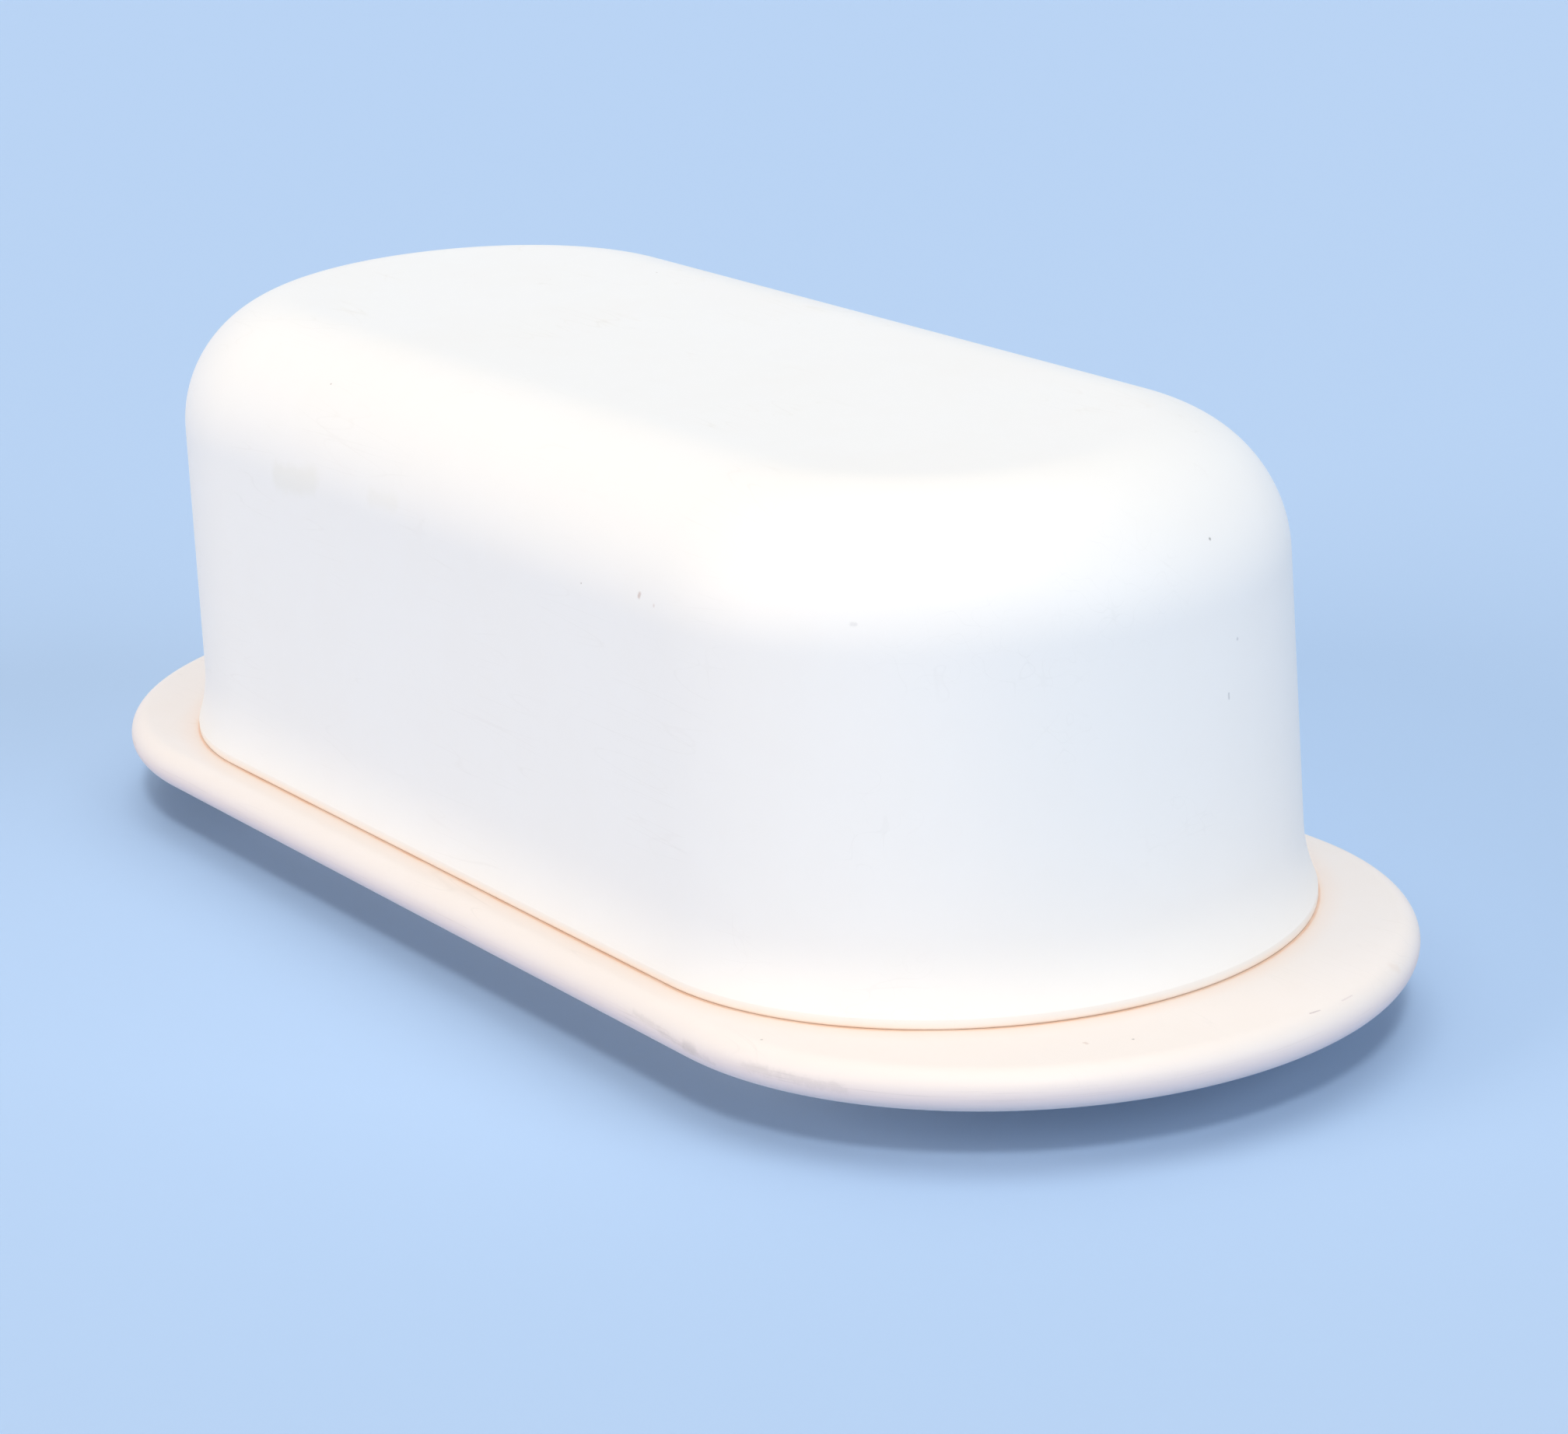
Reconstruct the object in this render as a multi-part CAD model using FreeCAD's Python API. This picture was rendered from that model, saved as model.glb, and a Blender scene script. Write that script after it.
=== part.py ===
"""Butter dish in two mouldings: an oblong tray on a foot ring, and a deep cover that lifts off.

Millimetres. X runs along the dish, Y across it, Z up. The origin is the middle of the foot ring,
on the surface that the dish stands on. Every outline seen from above is two straight sides with
a half circle at each end.
"""

import FreeCAD, Part
import math
import os

# Tray: rim and flange
TRAY_LENGTH = 201.6
TRAY_WIDTH = 84.2
FLANGE_THICKNESS = 4.6
END_GRIP = 13.85           # flange left bare beyond the cover, at each end
SIDE_LEDGE = 4.6           # flange left bare beyond the cover, along each side

# Tray: well and foot ring
TRAY_WALL = 2.8            # thickness of the well's wall and floor
WELL_DEPTH = 6.7           # top of the flange to the floor of the well
WELL_SLOPE = 24.0          # degrees off vertical
WELL_FLOOR_RADIUS = 4.0
UNDERCUT_RADIUS = 3.0      # underside of the flange into the outside of the well
FOOT_RING_HEIGHT = 1.8
FOOT_RING_WIDTH = 3.0
FOOT_RING_RADIUS = 0.8

# Tray: ridge that locates the cover
RIDGE_HEIGHT = 1.8
RIDGE_WIDTH = 2.4
RIDGE_CREST_RADIUS = 0.9
RIDGE_ROOT_RADIUS = 0.5
RIDGE_CLEARANCE = 0.6      # ridge to the inside of the cover's foot

# Cover
COVER_HEIGHT = 52.7
COVER_WALL = 2.6
WALL_DRAFT = 1.0           # degrees off vertical, for release from the mould
SHOULDER_RADIUS = 15.0     # wall into the flat top, outside
FOOT_REACH = 1.3           # how far the foot stands out from the wall
FOOT_SPLAY = 20.0          # degrees off vertical, where the foot meets its lip
LIP_HEIGHT = 1.1           # upright edge at the very bottom
LIP_RADIUS = 0.3
SEAT_WIDTH = 2.9           # breadth of the foot where it rests on the flange

# Heights above the standing surface
RIM_HEIGHT = FOOT_RING_HEIGHT + TRAY_WALL + WELL_DEPTH
FLANGE_UNDERSIDE = RIM_HEIGHT - FLANGE_THICKNESS
COVER_TOP = RIM_HEIGHT + COVER_HEIGHT

# Outlines from above: the radius of each end, and how far its middle is from the dish's middle
TRAY_RADIUS = TRAY_WIDTH / 2
TRAY_END = (TRAY_LENGTH - TRAY_WIDTH) / 2
COVER_RADIUS = TRAY_RADIUS - SIDE_LEDGE
COVER_END = TRAY_LENGTH / 2 - END_GRIP - COVER_RADIUS
SEAT_RADIUS = COVER_RADIUS - SEAT_WIDTH

UPRIGHT = FreeCAD.Vector(0, 0, 1)
ORIGIN = FreeCAD.Vector(0, 0, 0)
TOUCHING = 1e-6


def run(degrees):
    """Sideways run for each millimetre of height, on a line that many degrees off vertical."""
    return math.tan(math.radians(degrees))


def bend_radius(reach, degrees, kept):
    """Largest radius that turns a splayed foot upright, with that much of its slope kept."""
    slope_length = reach / math.sin(math.radians(degrees))
    return (slope_length - kept) / run(degrees / 2)


def rounded_corner(before, point, after, radius):
    """Start, middle and end of the arc that rounds a corner, or only the point if it is sharp."""
    if radius == 0:
        return [point]
    back = (before - point).normalize()
    ahead = (after - point).normalize()
    half_angle = back.getAngle(ahead) / 2
    bisector = (back + ahead).normalize()
    reach = radius / math.tan(half_angle)
    depth = radius / math.sin(half_angle) - radius
    return [point + back * reach, point + bisector * depth, point + ahead * reach]


def section(corners):
    """Upright face across the near half of the dish, from (distance out, height, radius) corners."""
    points = [FreeCAD.Vector(0, -out, height) for out, height, _ in corners]
    bends = []
    for index, (_, _, radius) in enumerate(corners):
        following = points[(index + 1) % len(points)]
        bends.append(rounded_corner(points[index - 1], points[index], following, radius))
    edges = []
    for index, bend in enumerate(bends):
        if len(bend) > 1:
            edges.append(Part.Arc(*bend).toShape())
        following = bends[(index + 1) % len(bends)]
        if bend[-1].distanceToPoint(following[0]) > TOUCHING:
            edges.append(Part.LineSegment(bend[-1], following[0]).toShape())
    return Part.Face(Part.Wire(edges))


def oblong(corners, end):
    """Solid with one section all round: two straight sides, and a half turn at each end."""
    face = section(corners)
    end_middle = FreeCAD.Vector(end, 0, 0)
    face.translate(end_middle)
    half_turn = face.revolve(end_middle, UPRIGHT, 180)
    side = face.extrude(end_middle * -2)
    quarters = [side, half_turn]
    for quarter in (side, half_turn):
        opposite = quarter.copy()
        opposite.rotate(ORIGIN, UPRIGHT, 180)
        quarters.append(opposite)
    return quarters[0].multiFuse(quarters[1:]).removeSplitter()


def make_cover():
    """Deep cover of even wall, with a splayed foot that rests on the flange."""
    draft = run(WALL_DRAFT)
    splay = run(FOOT_SPLAY)
    lip_top = RIM_HEIGHT + LIP_HEIGHT
    outer_foot_wall = COVER_RADIUS - FOOT_REACH
    outer_bend = lip_top + FOOT_REACH / splay
    outer_top_wall = outer_foot_wall - (COVER_TOP - outer_bend) * draft
    inner_foot_wall = outer_foot_wall - COVER_WALL
    inner_reach = SEAT_RADIUS - inner_foot_wall
    inner_bend = RIM_HEIGHT + inner_reach / splay
    ceiling = COVER_TOP - COVER_WALL
    inner_top_wall = inner_foot_wall - (ceiling - inner_bend) * draft
    return oblong([
        (0, COVER_TOP, 0),
        (outer_top_wall, COVER_TOP, SHOULDER_RADIUS),
        (outer_foot_wall, outer_bend, bend_radius(FOOT_REACH, FOOT_SPLAY, LIP_RADIUS)),
        (COVER_RADIUS, lip_top, LIP_RADIUS),
        (COVER_RADIUS, RIM_HEIGHT, LIP_RADIUS),
        (SEAT_RADIUS, RIM_HEIGHT, LIP_RADIUS),
        (inner_foot_wall, inner_bend, bend_radius(inner_reach, FOOT_SPLAY, LIP_RADIUS)),
        (inner_top_wall, ceiling, SHOULDER_RADIUS - COVER_WALL),
        (0, ceiling, 0),
    ], COVER_END)


def make_well():
    """Dished middle of the tray: ridge, well, foot ring, and the flange's underside beside them."""
    slant = run(WELL_SLOPE)
    thickness_across = TRAY_WALL / math.cos(math.radians(WELL_SLOPE))
    crest = RIM_HEIGHT + RIDGE_HEIGHT
    floor = RIM_HEIGHT - WELL_DEPTH
    ridge_root = SEAT_RADIUS - RIDGE_CLEARANCE
    ridge_outside = ridge_root - RIDGE_HEIGHT * run(FOOT_SPLAY)
    ridge_inside = ridge_outside - RIDGE_WIDTH
    floor_edge = ridge_inside - (crest - floor) * slant
    undercut = ridge_inside + thickness_across - (crest - FLANGE_UNDERSIDE) * slant
    foot_outside = undercut - FLANGE_UNDERSIDE * slant
    foot_inside = foot_outside - FOOT_RING_WIDTH
    return oblong([
        (0, floor, 0),
        (floor_edge, floor, WELL_FLOOR_RADIUS),
        (ridge_inside, crest, RIDGE_CREST_RADIUS),
        (ridge_outside, crest, RIDGE_CREST_RADIUS),
        (ridge_root, RIM_HEIGHT, RIDGE_ROOT_RADIUS),
        (COVER_RADIUS, RIM_HEIGHT, 0),
        (COVER_RADIUS, FLANGE_UNDERSIDE, 0),
        (undercut, FLANGE_UNDERSIDE, UNDERCUT_RADIUS),
        (foot_outside, 0, FOOT_RING_RADIUS),
        (foot_inside, 0, FOOT_RING_RADIUS),
        (foot_inside, FOOT_RING_HEIGHT, FOOT_RING_RADIUS),
        (0, FOOT_RING_HEIGHT, 0),
    ], COVER_END)


def make_flange():
    """Flat flange with a full round edge, open over the dished middle."""
    nose_radius = FLANGE_THICKNESS / 2
    plate = oblong([
        (0, RIM_HEIGHT, 0),
        (TRAY_RADIUS, RIM_HEIGHT, nose_radius),
        (TRAY_RADIUS, FLANGE_UNDERSIDE, nose_radius),
        (0, FLANGE_UNDERSIDE, 0),
    ], TRAY_END)
    opening = oblong([
        (0, RIM_HEIGHT, 0),
        (COVER_RADIUS, RIM_HEIGHT, 0),
        (COVER_RADIUS, FLANGE_UNDERSIDE, 0),
        (0, FLANGE_UNDERSIDE, 0),
    ], COVER_END)
    return plate.cut(opening)


def make_tray():
    """One moulding: the flange and the dished middle joined."""
    return make_flange().fuse(make_well()).removeSplitter()


def export(node, shape):
    """Write one node's STEP file, and print the size of its single solid."""
    if len(shape.Solids) != 1 or not shape.isValid():
        raise ValueError(f"{node} should be one valid solid")
    solid = shape.Solids[0]
    solid.exportStep(f"parts/{node}.step")
    box = solid.optimalBoundingBox(False)
    print(f"{node}: {box.XLength:.2f} x {box.YLength:.2f} x {box.ZLength:.2f} mm, "
          f"from z {box.ZMin:.2f}, {solid.Volume / 1000:.1f} cm3")


os.makedirs("parts", exist_ok=True)
export("tray", make_tray())
export("cover", make_cover())
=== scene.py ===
"""A butter dish in moulded melamine: an oblong tray on a foot ring, and a deep cover that lifts off.

Everything is placed in metres, with X along the dish, Y across it, Z up, and the origin where the
dish stands. Sections are drawn in millimetres and swept round an oblong, which is two straight
sides with a half circle at each end.
"""

import logging
import math
from dataclasses import dataclass
from enum import Enum
from typing import Any, Union

import bmesh
import bpy
import numpy as np
from mathutils import Matrix, Vector


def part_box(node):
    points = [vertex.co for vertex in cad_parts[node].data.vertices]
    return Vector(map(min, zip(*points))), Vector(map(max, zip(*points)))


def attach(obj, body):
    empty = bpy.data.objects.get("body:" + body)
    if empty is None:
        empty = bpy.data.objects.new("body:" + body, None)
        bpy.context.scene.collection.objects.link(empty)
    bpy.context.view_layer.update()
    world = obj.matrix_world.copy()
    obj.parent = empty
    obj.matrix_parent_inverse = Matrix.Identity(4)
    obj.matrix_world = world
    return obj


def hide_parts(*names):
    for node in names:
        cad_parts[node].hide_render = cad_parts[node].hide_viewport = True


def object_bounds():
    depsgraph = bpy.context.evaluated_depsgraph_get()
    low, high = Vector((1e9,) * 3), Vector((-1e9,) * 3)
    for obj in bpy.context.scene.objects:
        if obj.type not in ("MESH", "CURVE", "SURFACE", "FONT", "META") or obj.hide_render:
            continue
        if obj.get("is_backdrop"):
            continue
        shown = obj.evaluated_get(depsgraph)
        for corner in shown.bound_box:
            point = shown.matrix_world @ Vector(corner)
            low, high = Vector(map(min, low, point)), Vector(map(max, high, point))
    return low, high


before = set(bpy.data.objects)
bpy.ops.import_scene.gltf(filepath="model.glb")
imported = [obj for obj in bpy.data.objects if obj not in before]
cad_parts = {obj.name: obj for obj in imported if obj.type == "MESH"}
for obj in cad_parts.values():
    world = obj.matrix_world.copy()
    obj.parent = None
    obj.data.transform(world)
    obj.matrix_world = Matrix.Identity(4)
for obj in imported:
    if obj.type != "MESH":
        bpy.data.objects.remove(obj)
cad_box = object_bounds()

log = logging.getLogger("butter_dish")

MM = 0.001
TOUCHING = MM * 1e-3

Colour = tuple[float, float, float]
Spot = tuple[float, float, float]
Number = Union["Wire", float]


class Moulding(Enum):
    """The two mouldings. A value is the name of the CAD node, and of the body that it rides on."""

    TRAY = "tray"
    COVER = "cover"

    @property
    def slot(self) -> str:
        """The record's material slot for this moulding."""
        return f"{self.value}_moulding"

    def box(self) -> tuple[Vector, Vector]:
        """The CAD node's lowest and highest corners, in millimetres."""
        low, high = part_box(self.value)
        return low / MM, high / MM


class Grain(Enum):
    """Which way fine lines run over a flat face. A value is the angle from X, in degrees."""

    ALONG = 4.0
    SLANTED = 37.0
    ACROSS = 84.0
    BACK_SLANTED = 131.0


# ---------------------------------------------------------------------------------- shader maths


class Wire:
    """A node's output, which takes part in sums as a number does. Each sum adds a Math node."""

    def __init__(self, recipe: "Recipe", socket: bpy.types.NodeSocket) -> None:
        """Wraps a socket.

        Args:
            recipe: the node tree that the socket belongs to.
            socket: the output socket.
        """
        self.recipe = recipe
        self.socket = socket

    def maths(self, operation: str, *values: Number) -> "Wire":
        """Adds one Math node.

        Args:
            operation: the Math node's operation.
            values: its inputs, in order.

        Returns:
            The node's output.
        """
        return self.recipe.node("ShaderNodeMath", {"operation": operation}, dict(enumerate(values)))

    def __add__(self, other: Number) -> "Wire":
        """self + other."""
        return self.maths("ADD", self, other)

    def __radd__(self, other: Number) -> "Wire":
        """other + self."""
        return self.maths("ADD", other, self)

    def __sub__(self, other: Number) -> "Wire":
        """self - other."""
        return self.maths("SUBTRACT", self, other)

    def __rsub__(self, other: Number) -> "Wire":
        """other - self."""
        return self.maths("SUBTRACT", other, self)

    def __mul__(self, other: Number) -> "Wire":
        """self * other."""
        return self.maths("MULTIPLY", self, other)

    def __rmul__(self, other: Number) -> "Wire":
        """other * self."""
        return self.maths("MULTIPLY", other, self)

    def __truediv__(self, other: Number) -> "Wire":
        """self / other."""
        return self.maths("DIVIDE", self, other)

    def __pow__(self, other: Number) -> "Wire":
        """self to the power of other."""
        return self.maths("POWER", self, other)

    def __abs__(self) -> "Wire":
        """self without its sign."""
        return self.maths("ABSOLUTE", self)

    def at_least(self, floor: Number) -> "Wire":
        """The larger of self and floor."""
        return self.maths("MAXIMUM", self, floor)

    def at_most(self, limit: Number) -> "Wire":
        """The smaller of self and limit."""
        return self.maths("MINIMUM", self, limit)

    def rise(self, start: float, stop: float) -> "Wire":
        """Turns self into a smooth step.

        Args:
            start: the value up to which the step is 0.
            stop: the value from which it is 1.

        Returns:
            The step, from 0 to 1.
        """
        sockets = {"Value": self, "From Min": start, "From Max": stop}
        return self.recipe.node("ShaderNodeMapRange", {"interpolation_type": "SMOOTHSTEP"}, sockets)

    def fall(self, start: float, stop: float) -> "Wire":
        """The opposite of rise: 1 up to start, and 0 from stop."""
        return 1 - self.rise(start, stop)

    def band(self, middle: float, half_width: float, edge: float) -> "Wire":
        """Picks out a band of values.

        Args:
            middle: the value in the middle of the band.
            half_width: how far from the middle the band stays at 1.
            edge: how far beyond that it fades to 0.

        Returns:
            1 inside the band and 0 outside it.
        """
        return abs(self - middle).fall(half_width, half_width + edge)


class Recipe:
    """The node tree of one material, or of the world."""

    def __init__(self, owner: bpy.types.Material | bpy.types.World) -> None:
        """Clears the owner's node tree.

        Args:
            owner: the new material or world.
        """
        owner.use_nodes = True
        self.owner = owner
        self.tree = owner.node_tree
        self.tree.nodes.clear()

    @classmethod
    def named(cls, name: str) -> "Recipe":
        """The recipe of a new material."""
        return cls(bpy.data.materials.new(name))

    def node(self, kind: str, settings: dict[str, Any] | None = None,
             sockets: dict[str | int, Any] | None = None, output: str | int = 0) -> Wire:
        """Adds a node, sets it up and wires it.

        Args:
            kind: the node's type.
            settings: the node's own properties, set before its sockets.
            sockets: values or wires, by the input's name or number.
            output: the name or number of the output wanted.

        Returns:
            That output, or for a node with none, a wire with no socket.
        """
        made = self.tree.nodes.new(kind)
        for name, value in (settings or {}).items():
            setattr(made, name, value)
        for name, value in (sockets or {}).items():
            if isinstance(value, Wire):
                self.tree.links.new(value.socket, made.inputs[name])
            else:
                made.inputs[name].default_value = value
        return Wire(self, made.outputs[output] if len(made.outputs) else None)

    def vector(self, operation: str, *values: Any, output: str = "Vector", **sockets: Any) -> Wire:
        """Adds a Vector Math node.

        Args:
            operation: its operation.
            values: its vector inputs, in order.
            output: "Vector", or "Value" where the result is a number.
            sockets: other inputs by name, such as Scale.

        Returns:
            The output asked for.
        """
        inputs = {**dict(enumerate(values)), **sockets}
        return self.node("ShaderNodeVectorMath", {"operation": operation}, inputs, output)

    def join(self, x: Number, y: Number, z: Number) -> Wire:
        """One vector from three numbers."""
        return self.node("ShaderNodeCombineXYZ", sockets={"X": x, "Y": y, "Z": z})

    def mix(self, share: Number, first: Any, second: Any) -> Wire:
        """Blends two colours.

        Args:
            share: 0 for the first colour, 1 for the second.
            first: a colour or a wire.
            second: a colour or a wire.

        Returns:
            The blend.
        """
        first, second = (c if isinstance(c, Wire) else (*c, 1.0) for c in (first, second))
        settings = {"data_type": "RGBA", "clamp_factor": True}
        return self.node("ShaderNodeMix", settings, {0: share, 6: first, 7: second}, 2)

    def noise(self, place: Wire, size: float, detail: float = 2.0, roughness: float = 0.5) -> Wire:
        """Soft random patches.

        Args:
            place: the position, in millimetres.
            size: how far apart the patches are, in millimetres.
            detail: octaves of finer detail.
            roughness: how strong each finer octave is.

        Returns:
            A number that is mostly from 0.25 to 0.75.
        """
        sockets = {"Vector": place, "Scale": 1 / size, "Detail": detail, "Roughness": roughness}
        return self.node("ShaderNodeTexNoise", {}, sockets)

    def finish(self, coat: "Coat") -> bpy.types.Material:
        """Ends the tree with the shader of a moulded plastic.

        Args:
            coat: the surface as painted.

        Returns:
            The material.
        """
        relief = {"Height": coat.relief, "Distance": MM, "Strength": 1.0}
        normal = self.node("ShaderNodeBump", {}, relief, "Normal")
        sockets = {"Base Color": coat.colour, "Roughness": coat.rough, "Normal": normal,
                   "IOR": coat.ior, "Specular IOR Level": coat.sheen}
        shader = self.node("ShaderNodeBsdfPrincipled", {}, sockets)
        self.node("ShaderNodeOutputMaterial", {}, {"Surface": shader})
        return self.owner


@dataclass(frozen=True)
class Coat:
    """A surface as painted so far.

    Args:
        recipe: the node tree.
        colour: the surface's own colour.
        rough: its roughness.
        relief: the height of its fine relief, in millimetres.
        ior: its index of refraction.
        sheen: how much of that reflection is left, where 0.5 is all of it.
    """

    recipe: Recipe
    colour: Wire
    rough: Wire
    relief: Wire
    ior: float
    sheen: float

    def stained(self, mask: Number, colour: Colour) -> "Coat":
        """The coat with a colour laid over it where mask is 1."""
        return self.changed(colour=self.recipe.mix(mask, self.colour, colour))

    def dulled(self, mask: Wire, amount: float) -> "Coat":
        """The coat with its roughness raised by amount where mask is 1."""
        return self.changed(rough=self.rough + mask * amount)

    def raised(self, height: Wire) -> "Coat":
        """The coat with its relief raised by a height in millimetres."""
        return self.changed(relief=self.relief + height)

    def changed(self, **parts: Wire) -> "Coat":
        """The coat with the named parts in place of its own."""
        return Coat(**{**self.__dict__, **parts})


class Place:
    """Where a point of the surface lies, in millimetres, at rest."""

    def __init__(self, recipe: Recipe, end: float) -> None:
        """Works out the oblong's own coordinates.

        Args:
            recipe: the node tree.
            end: how far the middle of each half circle is from the dish's middle.
        """
        metres = recipe.node("ShaderNodeTexCoord", output="Object")
        self.recipe = recipe
        self.spot = recipe.vector("SCALE", metres, Scale=1 / MM)
        x, y, self.height = (recipe.node("ShaderNodeSeparateXYZ", sockets={0: self.spot}, output=axis)
                             for axis in "XYZ")
        past = x.maths("SIGN", x) * (abs(x) - end).at_least(0)
        self.out = (past * past + y * y) ** 0.5
        self.along = x - past
        self.facing = recipe.vector("NORMALIZE", recipe.join(past, y, 0))
        self.run = recipe.node("ShaderNodeAttribute", {"attribute_name": Section.RUN}, output="Fac")

    def lines_round(self, radius: float, length: float, pitch: float) -> Wire:
        """Fine uneven lines that run round the oblong.

        Args:
            radius: about how far out the lines are.
            length: about how long they are.
            pitch: about how far apart they are.

        Returns:
            A number that is mostly from 0.25 to 0.75.
        """
        recipe = self.recipe
        ring = recipe.vector("ADD", recipe.vector("SCALE", self.facing, Scale=radius / length),
                             recipe.join(self.along / length, 0, self.height / pitch))
        sockets = {"Vector": ring, "W": self.out / pitch, "Scale": 1.0, "Detail": 3.0}
        return recipe.node("ShaderNodeTexNoise", {"noise_dimensions": "4D"}, sockets)

    def hairlines(self, grain: Grain, length: float, pitch: float, width: float) -> Wire:
        """Long thin scratches over the whole surface.

        Args:
            grain: which way they run.
            length: about how long they are.
            pitch: about how far apart they are.
            width: how wide they are, as a share of the pitch.

        Returns:
            1 on a scratch and 0 beside it.
        """
        turned = {"Vector": self.spot, "Rotation": (0, 0, -math.radians(grain.value)),
                  "Scale": (1 / length, 1 / pitch, 1 / pitch)}
        place = self.recipe.node("ShaderNodeMapping", {"vector_type": "POINT"}, turned)
        drift = self.recipe.node("ShaderNodeTexNoise", {}, {"Vector": place, "Scale": 1.0, "Detail": 0.0})
        return drift.band(0.5, 0, width)


# -------------------------------------------------------------------------------------- finishes


@dataclass(frozen=True)
class Melamine:
    """Moulded melamine, satin and faintly clouded. Sizes and heights are in millimetres.

    Args:
        colour: the colour of clean material.
        cloud: the colour that it drifts towards.
        drift: how far it drifts, from 0 to 1.
        patch: size of its broad clouds.
        mottle: size of the small clouds in them.
        rough: roughness where it is clean.
        patch_shine: how much the roughness drifts with the broad clouds.
        smear: size of the small spots that shine more or less.
        smear_shine: how much the roughness drifts with those.
        ior: index of refraction.
        sheen: how much of its reflection wear has left, where 0.5 is all of it.
        peel: height of the moulded surface's fine unevenness.
        peel_size: size of that unevenness.
        swell: height of its broad unevenness, as a multiple of peel.
        swell_size: size of that unevenness.
    """

    colour: Colour
    cloud: Colour
    drift: float = 0.6
    patch: float = 34.0
    mottle: float = 5.0
    rough: float = 0.46
    patch_shine: float = 0.14
    smear: float = 2.2
    smear_shine: float = 0.12
    ior: float = 1.5
    sheen: float = 0.3
    peel: float = 0.0016
    peel_size: float = 1.1
    swell: float = 14.0
    swell_size: float = 16.0

    def lay(self, recipe: Recipe, place: Place) -> Coat:
        """Starts a coat with this material.

        Args:
            recipe: the node tree.
            place: where the point is.

        Returns:
            The coat.
        """
        patches = recipe.noise(place.spot, self.patch, detail=3, roughness=0.55)
        mottle = recipe.noise(place.spot, self.mottle, detail=3, roughness=0.6)
        smears = recipe.noise(place.spot, self.smear, detail=4, roughness=0.6)
        fine = recipe.noise(place.spot, self.peel_size, roughness=0.55)
        broad = recipe.noise(place.spot, self.swell_size, detail=1, roughness=0.4)
        clouds = (patches * 0.7 + mottle * 0.3).rise(0.36, 0.66) * self.drift
        satin = self.rough + (patches - 0.5) * self.patch_shine + (smears - 0.5) * self.smear_shine
        relief = fine * self.peel + broad * (self.peel * self.swell)
        colour = recipe.mix(clouds, self.colour, self.cloud)
        return Coat(recipe, colour, satin, relief, self.ior, self.sheen)


@dataclass(frozen=True)
class Specks:
    """Tiny dark flecks of filler or grit, few and far apart.

    Args:
        colour: their colour.
        spacing: about how far apart they could be, in millimetres.
        size: how far each reaches from its middle, in millimetres.
        core: the share of that reach over which it is full strength.
        rarity: the share of places that stay bare.
        doubt: the share of places whose fleck is only faint.
        strength: how strongly they show, from 0 to 1.
    """

    colour: Colour = (0.30, 0.22, 0.17)
    spacing: float = 9.0
    size: float = 0.16
    core: float = 0.4
    rarity: float = 0.72
    doubt: float = 0.02
    strength: float = 0.7

    def lay(self, place: Place, coat: Coat) -> Coat:
        """Lays the flecks over a coat.

        Args:
            place: where the point is.
            coat: the coat so far.

        Returns:
            The speckled coat.
        """
        sockets = {"Vector": place.spot, "Scale": 1 / self.spacing}
        cells = {"feature": "F1"}
        away = place.recipe.node("ShaderNodeTexVoronoi", cells, sockets) * self.spacing
        lot = place.recipe.node("ShaderNodeTexVoronoi", cells, sockets, "Color")
        luck = place.recipe.node("ShaderNodeSeparateColor", sockets={0: lot})
        chosen = luck.rise(self.rarity, self.rarity + self.doubt)
        mask = away.fall(self.size * self.core, self.size) * chosen
        return coat.stained(mask * self.strength, self.colour)


@dataclass(frozen=True)
class Scratches:
    """Faint hairline scratches from wiping and stacking.

    Args:
        grain: which way they run.
        length: about how long they are, in millimetres.
        pitch: about how far apart they are, in millimetres.
        width: their width, as a share of the pitch.
        depth: their depth, in millimetres.
        colour: what they look like where dirt has gathered in them.
        strength: how much of that shows, from 0 to 1.
        dulling: how much rougher they make the surface.
        gather: size of the patches in which they lie, in millimetres.
    """

    grain: Grain
    length: float = 42.0
    pitch: float = 3.0
    width: float = 0.009
    depth: float = 0.0012
    colour: Colour = (0.62, 0.60, 0.58)
    strength: float = 0.12
    dulling: float = 0.18
    gather: float = 15.0

    def lay(self, place: Place, coat: Coat, where: Wire) -> Coat:
        """Lays the scratches over a coat.

        Args:
            place: where the point is.
            coat: the coat so far.
            where: 1 where there may be scratches, and 0 elsewhere.

        Returns:
            The scratched coat.
        """
        spread = place.recipe.noise(place.spot, self.gather).rise(0.5, 0.62)
        mask = place.hairlines(self.grain, self.length, self.pitch, self.width) * spread * where
        worn = coat.stained(mask * self.strength, self.colour)
        return worn.dulled(mask, self.dulling).raised(mask * -self.depth)


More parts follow.
